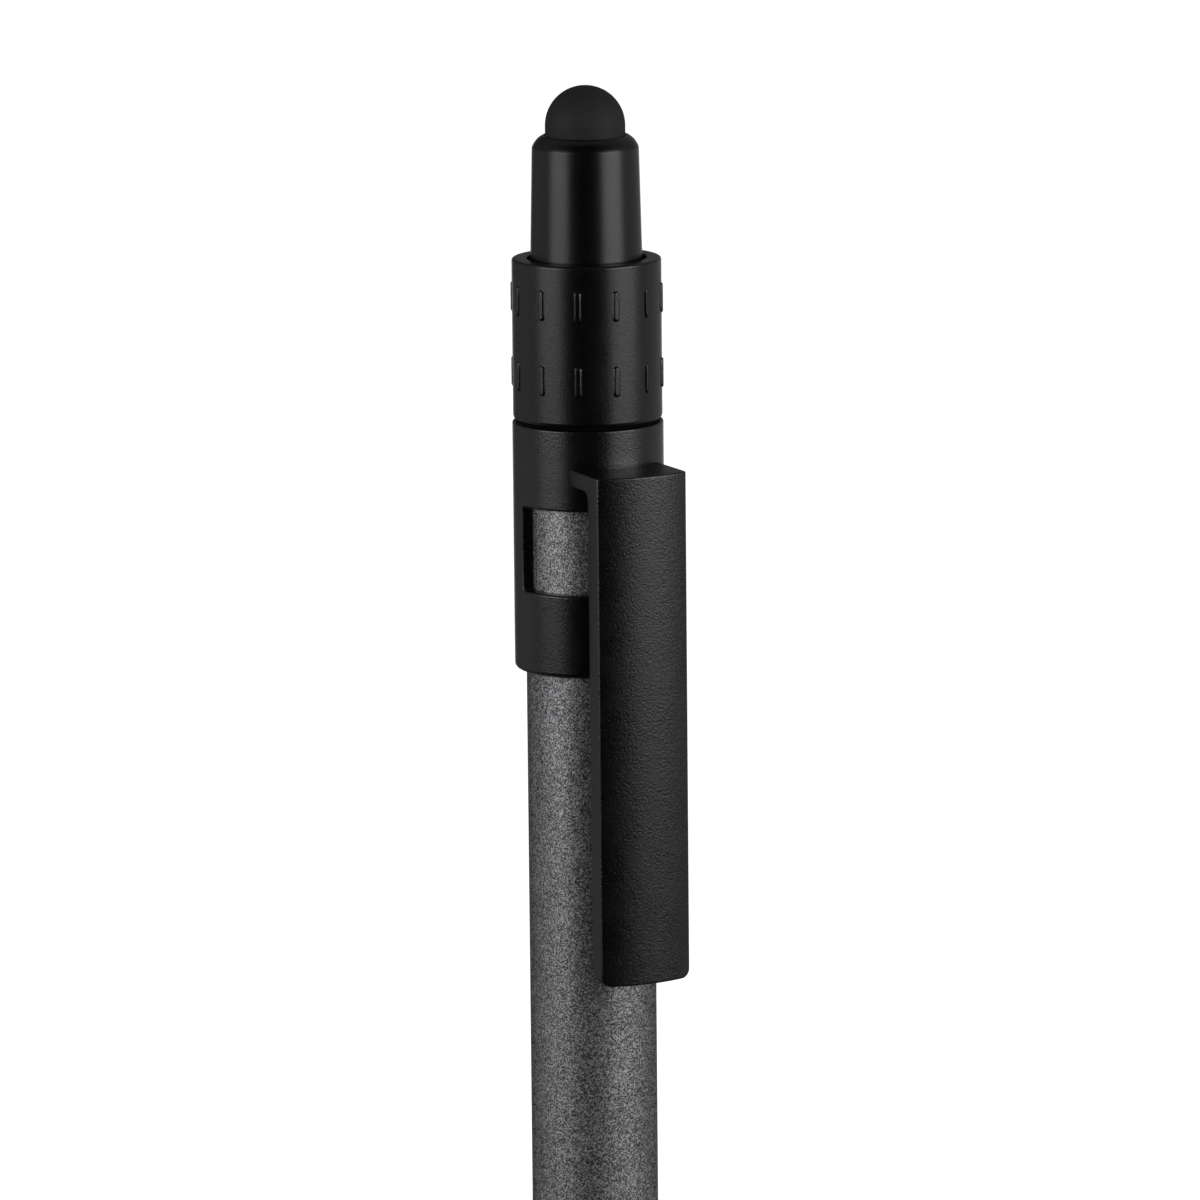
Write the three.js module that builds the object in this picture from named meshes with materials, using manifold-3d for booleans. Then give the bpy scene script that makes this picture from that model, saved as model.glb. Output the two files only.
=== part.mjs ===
// Twist-action ballpoint pen with a rubber stylus tip at its top end.
// Sizes are in millimetres. The pen stands on its writing point, with +Z running up to
// the stylus tip and the clip facing -Y. It is drawn with the writing point turned out.

import * as THREE from 'three';
import { mergeVertices } from 'three/addons/utils/BufferGeometryUtils.js';
import Module from 'manifold-3d';

const wasm = await Module();
wasm.setup();

// Facets round a full turn
const outerFacets = 48;
const innerFacets = 24;
const refillFacets = 24;
const pinFacets = 16;

// Clearances
const pressClearance = 0.1;
const runningClearance = 0.15;
const seatClearance = 0.1;

// Refill, a standard long metal-pointed one. Its length decides how long the barrel has to be.
const refillLength = 98.1;
const refillRadius = 2.9;
const refillWall = 0.35;
const refillPlugHead = 1.4;
const refillPlugStem = 3.6;

// Writing point and its ball
const ballRadius = 0.5;
const ballProtrusion = 0.35;
const ballPlay = 0.05;
const ballLipPlay = 0.012;
const ballLipHeight = 0.04;
const pointLipWall = 0.07;
const pointTaperLength = 2.2;
const pointNeckRadius = 1.15;
const pointNeckTop = 16.0;
const pointFlangeHeight = 0.8;
const pointShankLength = 4.5;
const inkChannelRadius = 0.45;

// Nose cone and the threaded insert that it screws into
const pointReach = 2.6;
const noseLength = 22.0;
const noseMouthWall = 0.75;
const noseMouthRounding = 0.3;
const noseBulge = 2.3;
const noseBulgeHeight = 5.4;
const noseMouthBoreLength = 4.4;
const noseBoreClearance = 0.3;
const noseSpigotLength = 6.6;
const noseOutlineSteps = 7;
const insertWall = 0.5;
const insertLength = 7.4;

// Return spring
const springWire = 0.4;
const springNeckClearance = 0.5;
const springChamberClearance = 0.45;
const springChamberBelowFlange = 0.6;
const springTurns = 8.5;
const springStepsPerTurn = 10;
const springSides = 5;

// Barrel
const barrelRadius = 5.6;
const barrelWall = 0.7;

// Clip sleeve
const sleeveWall = 0.95;
const sleeveLength = 21.88;
const sleeveBoreClearance = 0.07;
const sleeveLipHeight = 1.22;
const sleeveFootRounding = 0.45;
const sleeveRimRounding = 0.15;
const windowHalfAngle = 87;
const windowBelowRim = 7.12;
const windowHeight = 7.43;
const windowCornerRadius = 0.35;

// Clip arm, moulded in one piece with the sleeve
const clipStandOff = 4.73;
const clipWidth = 8.65;
const clipLength = 45.0;
const clipBelowRim = 3.37;
const clipBridgeThickness = 1.45;
const clipRootThickness = 2.75;
const clipEndThickness = 2.63;
const clipEdgeRadius = 0.2;
const clipCornerRadius = 0.9;
const clipInnerFillet = 0.95;
const clipEndRounding = 0.9;
const clipPadWidth = 3.2;
const clipPadLength = 6.5;
const clipPadAboveEnd = 1.6;
const clipPadGap = 0.3;

// Parting line and its washer
const seamHeight = 0.35;
const washerThickness = 0.2;
const washerInset = 0.25;

// Twist ring
const ringStep = 0.08;
const ringHeight = 14.03;
const ringCollarGap = 0.25;
const ringUpperBoreDepth = 5.05;
const ringWebThickness = 1.5;
const ringLowerWall = 0.88;
const ringTopRounding = 0.3;
const ringFootTaperHeight = 0.25;
const ringFootTaperDepth = 0.07;
const ribsPerRow = 12;
const ribRowsBelowTop = [3.5, 10.1];
const ribHeight = 2.7;
const ribWidth = 0.66;
const ribProtrusion = 0.15;
const ribTopInset = 0.13;
const ribTurn = -3.2;
const ribEndSteps = 4;

// Rubber stylus tip and the plug behind it
const domeRadius = 3.5;
const domeStraight = 0.85;
const domeWall = 0.85;
const domeSteps = 7;
const domeInnerSteps = 4;
const tipFlangeWidth = 0.35;
const tipFlangeHeight = 1.0;
const plugHeight = 5.5;
const plugStemBelowDome = 0.6;

// Collar that carries the stylus tip
const collarReach = 10.7;
const collarWall = 1.05;
const collarTaper = 0.34;
const collarMouthPlay = 0.08;
const collarMouthLand = 0.2;
const collarShoulderRadius = 1.9;
const collarShoulderTilt = 20;
const collarShoulderSteps = 5;
const collarLipThickness = 2.5;

// Knob core and friction ring
const coreSkirtRecess = 0.58;
const coreHeadroom = 0.35;
const coreStemLength = 7.8;
const socketInStem = 4.1;
const hexSpigotRadius = 2.35;
const hexClearance = 0.12;
const frictionSection = 0.22;
const frictionAboveSkirtFoot = 1.6;
const frictionRingSides = 6;
const frictionSqueezeGap = 0.06;

// Cam housing, rotor, slider and pin
const camTravel = 5.0;
const camSweep = Math.PI;
const housingLength = 12.7;
const housingWall = 0.8;
const housingLipHeight = 0.8;
const housingLipClearance = 0.55;
const housingFlangeHeight = 0.7;
const housingNeckWall = 0.6;
const housingNeckAboveSeam = 3.78;
const rotorWall = 1.05;
const rotorHeadroom = 0.6;
const rotorCapThickness = 1.0;
const retainerHeight = 0.8;
const retainerClearance = 0.25;
const pinRadius = 0.7;
const pinAboveRotorFoot = 2.7;
const pinEndInset = 0.2;
const slotPlay = 0.14;
const helixSteps = 22;
const slotEndMargin = 0.1;
const sliderLength = 9.7;
const sliderAbovePin = 1.6;

// Levels of the twist mechanism, which stands on the refill's top end
const sliderFoot = refillLength + seatClearance;
const sliderTop = sliderFoot + sliderLength;
const pinLevel = sliderTop - sliderAbovePin;
const rotorFoot = pinLevel - pinAboveRotorFoot;
const rotorShoulder = sliderTop + camTravel + rotorHeadroom + rotorCapThickness;
const housingFoot = rotorFoot - seatClearance - housingLipHeight;
const housingFlangeFoot = housingFoot + housingLength;
const housingFlangeTop = housingFlangeFoot + housingFlangeHeight;

// Levels of the casing, whose barrel reaches from the nose cone to the housing's flange
const noseTop = pointReach + noseLength;
const springFoot = pointReach + noseMouthBoreLength;
const springChamberTop = pointNeckTop - springChamberBelowFlange;
const barrelFoot = noseTop + seatClearance;
const barrelTop = housingFlangeFoot - seatClearance;
const sleeveLipFoot = housingFlangeTop + seatClearance;
const sleeveTop = sleeveLipFoot + sleeveLipHeight;
const sleeveFoot = sleeveTop - sleeveLength;
const clipTop = sleeveTop - clipBelowRim;
const clipFoot = clipTop - clipLength;

// Levels of the knob
const ringFoot = sleeveTop + seamHeight;
const ringTop = ringFoot + ringHeight;
const ringWebTop = ringTop - ringUpperBoreDepth;
const ringWebFoot = ringWebTop - ringWebThickness;
const housingNeckTop = ringFoot + housingNeckAboveSeam;
const coreSkirtFoot = ringFoot + coreSkirtRecess;
const coreSocketFoot = housingNeckTop + coreHeadroom;
const coreFlangeTop = ringWebFoot - seatClearance;
const coreSocketTop = coreFlangeTop + socketInStem;
const frictionLevel = coreSkirtFoot + frictionAboveSkirtFoot;
const collarFoot = ringWebTop + seatClearance;
const collarRim = ringTop + collarReach;
const collarLipFoot = collarRim - collarLipThickness;
const domeCentre = collarRim + domeStraight;
const tipFlangeTop = collarLipFoot - seatClearance;
const tipFlangeFoot = tipFlangeTop - tipFlangeHeight;
const plugTop = tipFlangeFoot - seatClearance;
const plugFoot = plugTop - plugHeight;

// Radii, from the barrel inwards and outwards
const barrelBore = barrelRadius - barrelWall;
const sleeveBore = barrelRadius + sleeveBoreClearance;
const sleeveRadius = sleeveBore + sleeveWall;
const ringRadius = sleeveRadius - ringStep;
const clipReach = sleeveRadius + clipStandOff;
const clipRootInner = clipReach - clipRootThickness;
const clipEndInner = clipReach - clipEndThickness;
const housingRadius = barrelBore - pressClearance;
const housingBore = housingRadius - housingWall;
const housingNeckRadius = housingBore + housingNeckWall;
const rotorRadius = housingBore - runningClearance;
const rotorBore = rotorRadius - rotorWall;
const sliderRadius = rotorBore - runningClearance;
const ringLowerBore = ringRadius - ringLowerWall;
const coreRadius = ringLowerBore - pressClearance;
const coreSkirtBore = housingNeckRadius + runningClearance;
const insertRadius = barrelBore - pressClearance;
const insertBore = insertRadius - insertWall;
const noseSpigotRadius = insertBore - pressClearance;

// Radii of the refill and its nose, and of the stylus tip and its collar
const refillBore = refillRadius - refillWall;
const nosePointBore = pointNeckRadius + pressClearance;
const noseMouthRadius = nosePointBore + noseMouthWall;
const noseBore = refillRadius + noseBoreClearance;
const springRadius = pointNeckRadius + springNeckClearance + springWire / 2;
const springChamberRadius = springRadius + springWire / 2 + springChamberClearance;
const tipFlangeRadius = domeRadius + tipFlangeWidth;
const collarBore = tipFlangeRadius + pressClearance;
const collarFootRadius = collarBore + collarWall;
const collarTopRadius = collarFootRadius - collarTaper;
const ringUpperBore = collarFootRadius + ringCollarGap;

// The pen's axis stands back from the middle of its outline, because the clip sticks out in front
const axisSetback = (clipReach - ringRadius - ribProtrusion) / 2;

const blackMoulding = new THREE.MeshStandardMaterial({ color: 0x1d1d1e, roughness: 0.42, metalness: 0 });
const blackCollar = new THREE.MeshStandardMaterial({ color: 0x17171a, roughness: 0.28, metalness: 0 });
const blackRubber = new THREE.MeshStandardMaterial({ color: 0x222223, roughness: 0.85, metalness: 0 });
const greyMetallic = new THREE.MeshStandardMaterial({ color: 0x6c6d70, roughness: 0.45, metalness: 0.7 });
const paleMoulding = new THREE.MeshStandardMaterial({ color: 0xd8d8d4, roughness: 0.5, metalness: 0 });
const brass = new THREE.MeshStandardMaterial({ color: 0xb58f48, roughness: 0.35, metalness: 1 });
const steel = new THREE.MeshStandardMaterial({ color: 0xb9bbbe, roughness: 0.25, metalness: 1 });
const refillBlue = new THREE.MeshStandardMaterial({ color: 0x24407a, roughness: 0.4, metalness: 0 });

const degrees = Math.PI / 180;

// Points of an arc in the radius and height plane, both ends included
function arc(centreRadius, centreHeight, radius, startDegrees, endDegrees, steps) {
  const points = [];
  for (let i = 0; i <= steps; i += 1) {
    const angle = (startDegrees + ((endDegrees - startDegrees) * i) / steps) * degrees;
    points.push([centreRadius + radius * Math.cos(angle), centreHeight + radius * Math.sin(angle)]);
  }
  return points;
}

// Solid of revolution about Z. The outline runs anticlockwise, radius first, then height.
function revolve(outline, facets) {
  const points = outline.map(([radius, height]) => new THREE.Vector2(radius, height));
  if (points[0].x > 0) {
    points.push(points[0].clone());
  }
  const geometry = new THREE.LatheGeometry(points, facets);
  geometry.rotateX(Math.PI / 2);
  return geometry;
}

// Plain tube or washer
function tube(innerRadius, outerRadius, foot, top, facets) {
  return revolve([[innerRadius, foot], [outerRadius, foot], [outerRadius, top], [innerRadius, top]], facets);
}

// Closed skin over like rings of points, each ring convex and anticlockwise about the way it goes
function loft(rings) {
  const count = rings[0].length;
  const positions = rings.flat().flatMap((point) => [point.x, point.y, point.z]);
  const triangles = [];
  for (let ring = 0; ring < rings.length - 1; ring += 1) {
    for (let side = 0; side < count; side += 1) {
      const next = (side + 1) % count;
      const a = ring * count + side;
      const b = ring * count + next;
      triangles.push(a, b, b + count, a, b + count, a + count);
    }
  }
  const last = (rings.length - 1) * count;
  for (let side = 1; side < count - 1; side += 1) {
    triangles.push(0, side + 1, side);
    triangles.push(last, last + side, last + side + 1);
  }
  const geometry = new THREE.BufferGeometry();
  geometry.setAttribute('position', new THREE.Float32BufferAttribute(positions, 3));
  geometry.setIndex(triangles);
  geometry.computeVertexNormals();
  return geometry;
}

// Joins and cuts work on solids with shared corners, so a geometry goes in and out here
function toSolid(geometry) {
  const bare = geometry.clone();
  bare.deleteAttribute('normal');
  bare.deleteAttribute('uv');
  const merged = mergeVertices(bare);
  const corners = merged.index.array;
  const triangles = [];
  for (let i = 0; i < corners.length; i += 3) {
    const [a, b, c] = corners.slice(i, i + 3);
    if (a !== b && b !== c && c !== a) {
      triangles.push(a, b, c);
    }
  }
  const mesh = new wasm.Mesh({
    numProp: 3,
    vertProperties: Float32Array.from(merged.attributes.position.array),
    triVerts: Uint32Array.from(triangles),
  });
  return new wasm.Manifold(mesh);
}

function toGeometry(solid) {
  const mesh = solid.getMesh();
  const geometry = new THREE.BufferGeometry();
  geometry.setAttribute('position', new THREE.BufferAttribute(mesh.vertProperties, 3));
  geometry.setIndex(new THREE.BufferAttribute(mesh.triVerts, 1));
  geometry.computeVertexNormals();
  return geometry;
}

// Extrudes a shape and lays its x, y and depth along three directions that the basis gives
function extrude(shape, depth, basis, origin, curveSegments, bevel = 0) {
  const geometry = new THREE.ExtrudeGeometry(shape, {
    depth: depth - 2 * bevel,
    curveSegments,
    bevelEnabled: bevel > 0,
    bevelThickness: bevel,
    bevelSize: bevel,
    bevelOffset: -bevel,
    bevelSegments: 2,
  });
  geometry.translate(0, 0, bevel);
  const matrix = new THREE.Matrix4().makeBasis(...basis);
  matrix.setPosition(origin);
  return geometry.applyMatrix4(matrix);
}

const alongX = new THREE.Vector3(1, 0, 0);
const alongY = new THREE.Vector3(0, 1, 0);
const alongZ = new THREE.Vector3(0, 0, 1);
const planBasis = [alongX, alongY, alongZ];
const frontBasis = [alongX, alongZ, alongY.clone().negate()];
const sideBasis = [alongY.clone().negate(), alongZ, alongX.clone().negate()];
const clipFacing = -90;

// Hollow rubber dome on a short skirt. A flange round its foot is trapped under the collar's lip.
function stylusTip() {
  const innerRadius = domeRadius - domeWall;
  return revolve([
    ...arc(0, domeCentre, innerRadius, 90, 0, domeInnerSteps),
    [innerRadius, tipFlangeFoot],
    [tipFlangeRadius, tipFlangeFoot],
    [tipFlangeRadius, tipFlangeTop],
    [domeRadius, tipFlangeTop],
    ...arc(0, domeCentre, domeRadius, 0, 90, domeSteps),
  ], outerFacets);
}

// Spool behind the tip, whose stem fills the rubber skirt
function tipPlug() {
  const stemRadius = domeRadius - domeWall - pressClearance;
  const stemTop = domeCentre - plugStemBelowDome;
  return revolve([
    [0, plugFoot],
    [tipFlangeRadius, plugFoot],
    [tipFlangeRadius, plugTop],
    [stemRadius, plugTop],
    [stemRadius, stemTop],
    [0, stemTop],
  ], innerFacets);
}

// Tapered tube, with a shoulder that starts at a crisp edge, and a lip that holds the tip's flange
function stylusCollar() {
  const mouthRadius = domeRadius + collarMouthPlay;
  const landRadius = mouthRadius + collarMouthLand;
  const shoulderCentre = collarTopRadius - collarShoulderRadius * Math.cos(collarShoulderTilt * degrees);
  const rimAngle = Math.acos((landRadius - shoulderCentre) / collarShoulderRadius) / degrees;
  const shoulderLevel = collarRim - collarShoulderRadius * Math.sin(rimAngle * degrees);
  const shoulder = [shoulderCentre, shoulderLevel, collarShoulderRadius, collarShoulderTilt, rimAngle];
  return revolve([
    [collarBore, collarFoot],
    [collarFootRadius, collarFoot],
    ...arc(...shoulder, collarShoulderSteps),
    [mouthRadius, collarRim],
    [mouthRadius, collarLipFoot],
    [collarBore, collarLipFoot],
  ], outerFacets);
}

// One raised pill of the ring's grip, facing out at the given angle
function gripRib(angle, level) {
  const outward = new THREE.Vector3(Math.cos(angle), Math.sin(angle), 0);
  const across = new THREE.Vector3(-Math.sin(angle), Math.cos(angle), 0);
  const pill = (distance, inset) => {
    const endRadius = ribWidth / 2 - inset;
    const spine = (ribHeight - ribWidth) / 2;
    const points = [];
    for (const [centre, start] of [[spine, 0], [-spine, Math.PI]]) {
      for (let i = 0; i <= ribEndSteps; i += 1) {
        const turn = start + (Math.PI * i) / ribEndSteps;
        points.push(outward.clone().multiplyScalar(distance)
          .addScaledVector(across, endRadius * Math.cos(turn))
          .addScaledVector(alongZ, level + centre + endRadius * Math.sin(turn)));
      }
    }
    return points;
  };
  const rooted = ringRadius - ribProtrusion;
  const proud = ringRadius + ribProtrusion;
  return loft([pill(rooted, 0), pill(ringRadius + ribProtrusion / 2, 0), pill(proud, ribTopInset)]);
}

// Grip ring with two rows of ribs, a wide bore round the collar and a web that the collar stands on
function twistRing() {
  const body = revolve([
    [ringLowerBore, ringFoot],
    [ringRadius - ringFootTaperDepth, ringFoot],
    [ringRadius, ringFoot + ringFootTaperHeight],
    ...arc(ringRadius - ringTopRounding, ringTop - ringTopRounding, ringTopRounding, 0, 90, 3),
    [ringUpperBore, ringTop],
    [ringUpperBore, ringWebTop],
    [collarBore, ringWebTop],
    [collarBore, ringWebFoot],
    [ringLowerBore, ringWebFoot],
  ], outerFacets);
  let ring = toSolid(body);
  for (const belowTop of ribRowsBelowTop) {
    for (let rib = 0; rib < ribsPerRow; rib += 1) {
      const angle = (clipFacing + ribTurn + (360 * rib) / ribsPerRow) * degrees;
      ring = ring.add(toSolid(gripRib(angle, ringTop - belowTop)));
    }
  }
  return toGeometry(ring);
}

// Core that clamps ring and collar together. Its socket takes the rotor's hexagonal spigot.
function knobCore() {
  const grooveRadius = housingNeckRadius + frictionSqueezeGap + 2 * frictionSection + frictionSqueezeGap;
  const grooveHalf = frictionSection + frictionSqueezeGap;
  const body = toSolid(revolve([
    [0, coreSocketFoot],
    [coreSkirtBore, coreSocketFoot],
    [coreSkirtBore, frictionLevel + grooveHalf],
    [grooveRadius, frictionLevel + grooveHalf],
    [grooveRadius, frictionLevel - grooveHalf],
    [coreSkirtBore, frictionLevel - grooveHalf],
    [coreSkirtBore, coreSkirtFoot],
    [coreRadius, coreSkirtFoot],
    [coreRadius, coreFlangeTop],
    [tipFlangeRadius, coreFlangeTop],
    [tipFlangeRadius, coreFlangeTop + coreStemLength],
    [0, coreFlangeTop + coreStemLength],
  ], innerFacets));
  const socket = toSolid(hexBar(hexSpigotRadius + hexClearance, coreSocketFoot - 1, coreSocketTop));
  return toGeometry(body.subtract(socket));
}

function hexBar(cornerRadius, foot, top) {
  return revolve([[0, foot], [cornerRadius, foot], [cornerRadius, top], [0, top]], 6);
}

// Rubber ring in the core's groove, which drags on the housing's neck
function frictionRing() {
  const centreRadius = housingNeckRadius + frictionSqueezeGap + frictionSection;
  const outline = arc(centreRadius, frictionLevel, frictionSection, 0, 360, frictionRingSides);
  outline.pop();
  return revolve(outline, innerFacets);
}

// Thin washer in the parting line, between the sleeve and the turning ring
function slipWasher() {
  const foot = sleeveTop + (seamHeight - washerThickness) / 2;
  const bore = housingNeckRadius + runningClearance;
  return tube(bore, sleeveRadius - washerInset, foot, foot + washerThickness, outerFacets);
}

// Side view of the clip: bridge, inner fillet, tapering arm and rounded end
function clipSideShape() {
  const bridgeFoot = clipTop - clipBridgeThickness;
  const shape = new THREE.Shape();
  shape.moveTo(0, clipTop);
  shape.lineTo(0, bridgeFoot);
  shape.lineTo(clipRootInner - clipInnerFillet, bridgeFoot);
  shape.quadraticCurveTo(clipRootInner, bridgeFoot, clipRootInner, bridgeFoot - clipInnerFillet);
  shape.lineTo(clipEndInner, clipFoot + clipEndRounding);
  shape.quadraticCurveTo(clipEndInner, clipFoot, clipEndInner + clipEndRounding, clipFoot);
  shape.lineTo(clipReach, clipFoot);
  shape.lineTo(clipReach, clipTop);
  return shape;
}

// Front view of the clip: square top, well rounded lower corners
function clipFrontShape() {
  const half = clipWidth / 2;
  const shape = new THREE.Shape();
  shape.moveTo(-half, clipTop);
  shape.lineTo(-half, clipFoot + clipCornerRadius);
  shape.absarc(-half + clipCornerRadius, clipFoot + clipCornerRadius, clipCornerRadius, Math.PI, 1.5 * Math.PI);
  shape.absarc(half - clipCornerRadius, clipFoot + clipCornerRadius, clipCornerRadius, 1.5 * Math.PI, 2 * Math.PI);
  shape.lineTo(half, clipTop);
  return shape;
}

// Cross-section of the clip: outer face bent round the pen's axis, with softened edges
function clipPlanShape() {
  const half = clipWidth / 2;
  const shoulder = Math.sqrt(clipReach ** 2 - half ** 2);
  const faceTurn = Math.asin((half - clipEdgeRadius) / clipReach);
  const front = clipFacing * degrees;
  const shape = new THREE.Shape();
  shape.moveTo(half, 0);
  shape.lineTo(-half, 0);
  shape.lineTo(-half, -shoulder + clipEdgeRadius);
  shape.quadraticCurveTo(-half, -shoulder, -half + clipEdgeRadius, -clipReach * Math.cos(faceTurn));
  shape.absarc(0, 0, clipReach, front - faceTurn, front + faceTurn);
  shape.quadraticCurveTo(half, -shoulder, half, -shoulder + clipEdgeRadius);
  return shape;
}

// Contact pad inside the clip's lower end, which presses the cloth of a pocket on the barrel
function clipPad() {
  const foot = clipFoot + clipPadAboveEnd;
  const crest = barrelRadius + clipPadGap;
  const root = clipReach - clipEndThickness / 2;
  const shape = new THREE.Shape();
  shape.moveTo(root, foot);
  shape.lineTo(root, foot + clipPadLength);
  shape.lineTo(clipEndInner, foot + clipPadLength);
  shape.quadraticCurveTo(2 * crest - clipEndInner, foot + clipPadLength / 2, clipEndInner, foot);
  return extrude(shape, clipPadWidth, sideBasis, new THREE.Vector3(clipPadWidth / 2, 0, 0), 8);
}

function clipArm() {
  const half = clipWidth / 2;
  const side = extrude(clipSideShape(), clipWidth, sideBasis, new THREE.Vector3(half, 0, 0), 4);
  const front = extrude(clipFrontShape(), 2 * clipReach, frontBasis, new THREE.Vector3(), 5);
  const planOrigin = new THREE.Vector3(0, 0, clipFoot);
  const plan = extrude(clipPlanShape(), clipLength, planBasis, planOrigin, 5, clipEdgeRadius);
  const rootRadius = (sleeveBore + sleeveRadius) / 2;
  const rootCut = revolve([[0, clipFoot], [rootRadius, clipFoot], [rootRadius, sleeveTop], [0, sleeveTop]], outerFacets);
  const arm = toSolid(side).intersect(toSolid(front)).intersect(toSolid(plan));
  return arm.subtract(toSolid(rootCut)).add(toSolid(clipPad()));
}

// Wedge that cuts the window through the front of the sleeve
function windowCutter() {
  const shape = new THREE.Shape();
  shape.moveTo(0, 0);
  const start = (clipFacing - windowHalfAngle) * degrees;
  const end = (clipFacing + windowHalfAngle) * degrees;
  shape.absarc(0, 0, sleeveRadius + 1, start, end);
  const origin = new THREE.Vector3(0, 0, sleeveTop - windowBelowRim - windowHeight);
  return extrude(shape, windowHeight, planBasis, origin, 24, windowCornerRadius);
}

// Sleeve over the barrel's top end, its window, and the clip, all one moulding
function clipSleeve() {
  const sleeve = revolve([
    [sleeveBore, sleeveFoot],
    ...arc(sleeveRadius - sleeveFootRounding, sleeveFoot + sleeveFootRounding, sleeveFootRounding, -90, 0, 4),
    [sleeveRadius, sleeveTop - sleeveRimRounding],
    [sleeveRadius - sleeveRimRounding, sleeveTop],
    [housingNeckRadius + pressClearance, sleeveTop],
    [housingNeckRadius + pressClearance, sleeveLipFoot],
    [sleeveBore, sleeveLipFoot],
  ], outerFacets);
  const walls = toSolid(sleeve).subtract(toSolid(windowCutter()));
  return toGeometry(walls.add(clipArm()));
}

function barrel() {
  return tube(barrelBore, barrelRadius, barrelFoot, barrelTop, outerFacets);
}

// Upright bar through the axis, with rounded ends, that cuts both straight slots at once
function slotCutter(halfWidth, foot, top) {
  const shape = new THREE.Shape();
  shape.absarc(0, top, halfWidth, 0, Math.PI);
  shape.absarc(0, foot, halfWidth, Math.PI, 2 * Math.PI);
  const length = 2 * housingRadius + 2;
  return extrude(shape, length, sideBasis, new THREE.Vector3(length / 2, 0, 0), 6);
}

// Fixed tube pressed into the barrel: inner lip at the foot, flange on the barrel's edge,
// neck up into the knob, and two straight slots that keep the pin from turning
function camHousing() {
  const lipRadius = sliderRadius + housingLipClearance;
  const body = toSolid(revolve([
    [lipRadius, housingFoot],
    [housingRadius, housingFoot],
    [housingRadius, housingFlangeFoot],
    [sleeveBore - pressClearance, housingFlangeFoot],
    [sleeveBore - pressClearance, housingFlangeTop],
    [housingNeckRadius, housingFlangeTop],
    [housingNeckRadius, housingNeckTop],
    [housingBore, housingNeckTop],
    [housingBore, housingFoot + housingLipHeight],
    [lipRadius, housingFoot + housingLipHeight],
  ], innerFacets));
  const slot = slotCutter(pinRadius + slotPlay, pinLevel, pinLevel + camTravel);
  return toGeometry(body.subtract(toSolid(slot)));
}

// Helical bar that cuts one slot of the rotor. The pin climbs it as the rotor turns.
function helixCutter(startAngle) {
  const climb = camTravel / camSweep;
  const halfHeight = pinRadius * Math.hypot(1, climb / rotorBore) + slotPlay;
  const overrun = Math.asin((pinRadius + slotEndMargin) / rotorBore);
  const inner = rotorBore / 2;
  const outer = rotorRadius + 1;
  const rings = [];
  for (let i = 0; i <= helixSteps; i += 1) {
    const turn = camSweep + overrun - ((camSweep + 2 * overrun) * i) / helixSteps;
    const angle = startAngle - turn;
    const level = pinLevel + climb * turn;
    const corner = (radius, height) => (
      new THREE.Vector3(radius * Math.cos(angle), radius * Math.sin(angle), height));
    rings.push([
      corner(inner, level - halfHeight),
      corner(inner, level + halfHeight),
      corner(outer, level + halfHeight),
      corner(outer, level - halfHeight),
    ]);
  }
  return loft(rings);
}

// Turning tube with two helical slots and a hexagonal spigot that the knob drives
function camRotor() {
  const body = toSolid(revolve([
    [rotorBore, rotorFoot],
    [rotorRadius, rotorFoot],
    [rotorRadius, rotorShoulder],
    [0, rotorShoulder],
    [0, rotorShoulder - rotorCapThickness],
    [rotorBore, rotorShoulder - rotorCapThickness],
  ], innerFacets));
  const spigotFoot = rotorShoulder - rotorCapThickness / 2;
  const spigot = toSolid(hexBar(hexSpigotRadius, spigotFoot, coreSocketTop - seatClearance));
  let rotor = body.add(spigot);
  for (const startAngle of [0, Math.PI]) {
    rotor = rotor.subtract(toSolid(helixCutter(startAngle)));
  }
  return toGeometry(rotor);
}

function housingRetainer() {
  const foot = rotorShoulder + runningClearance;
  const hole = hexSpigotRadius + retainerClearance;
  return tube(hole, housingBore - pressClearance, foot, foot + retainerHeight, innerFacets);
}

// Plug under the pin that pushes the refill down, with a cross hole for the pin
function camSlider() {
  const outline = [[0, sliderFoot], [sliderRadius, sliderFoot], [sliderRadius, sliderTop], [0, sliderTop]];
  const body = toSolid(revolve(outline, innerFacets));
  const hole = toSolid(crossBar(pinRadius + pressClearance, sliderRadius + 1));
  return toGeometry(body.subtract(hole));
}

// Round bar along X at the pin's level
function crossBar(radius, halfLength) {
  const bar = revolve([[0, -halfLength], [radius, -halfLength], [radius, halfLength], [0, halfLength]], pinFacets);
  bar.rotateY(Math.PI / 2);
  bar.translate(0, 0, pinLevel);
  return bar;
}

function camPin() {
  return crossBar(pinRadius, housingRadius - pinEndInset);
}

function refillPlug() {
  const headFoot = refillLength - refillPlugHead;
  const stemRadius = refillBore - pressClearance;
  return revolve([
    [0, headFoot - refillPlugStem],
    [stemRadius, headFoot - refillPlugStem],
    [stemRadius, headFoot],
    [refillRadius, headFoot],
    [refillRadius, refillLength],
    [0, refillLength],
  ], refillFacets);
}

function refillTube() {
  const foot = pointNeckTop + pointFlangeHeight + seatClearance;
  const top = refillLength - refillPlugHead - seatClearance;
  return tube(refillBore, refillRadius, foot, top, refillFacets);
}

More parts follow.
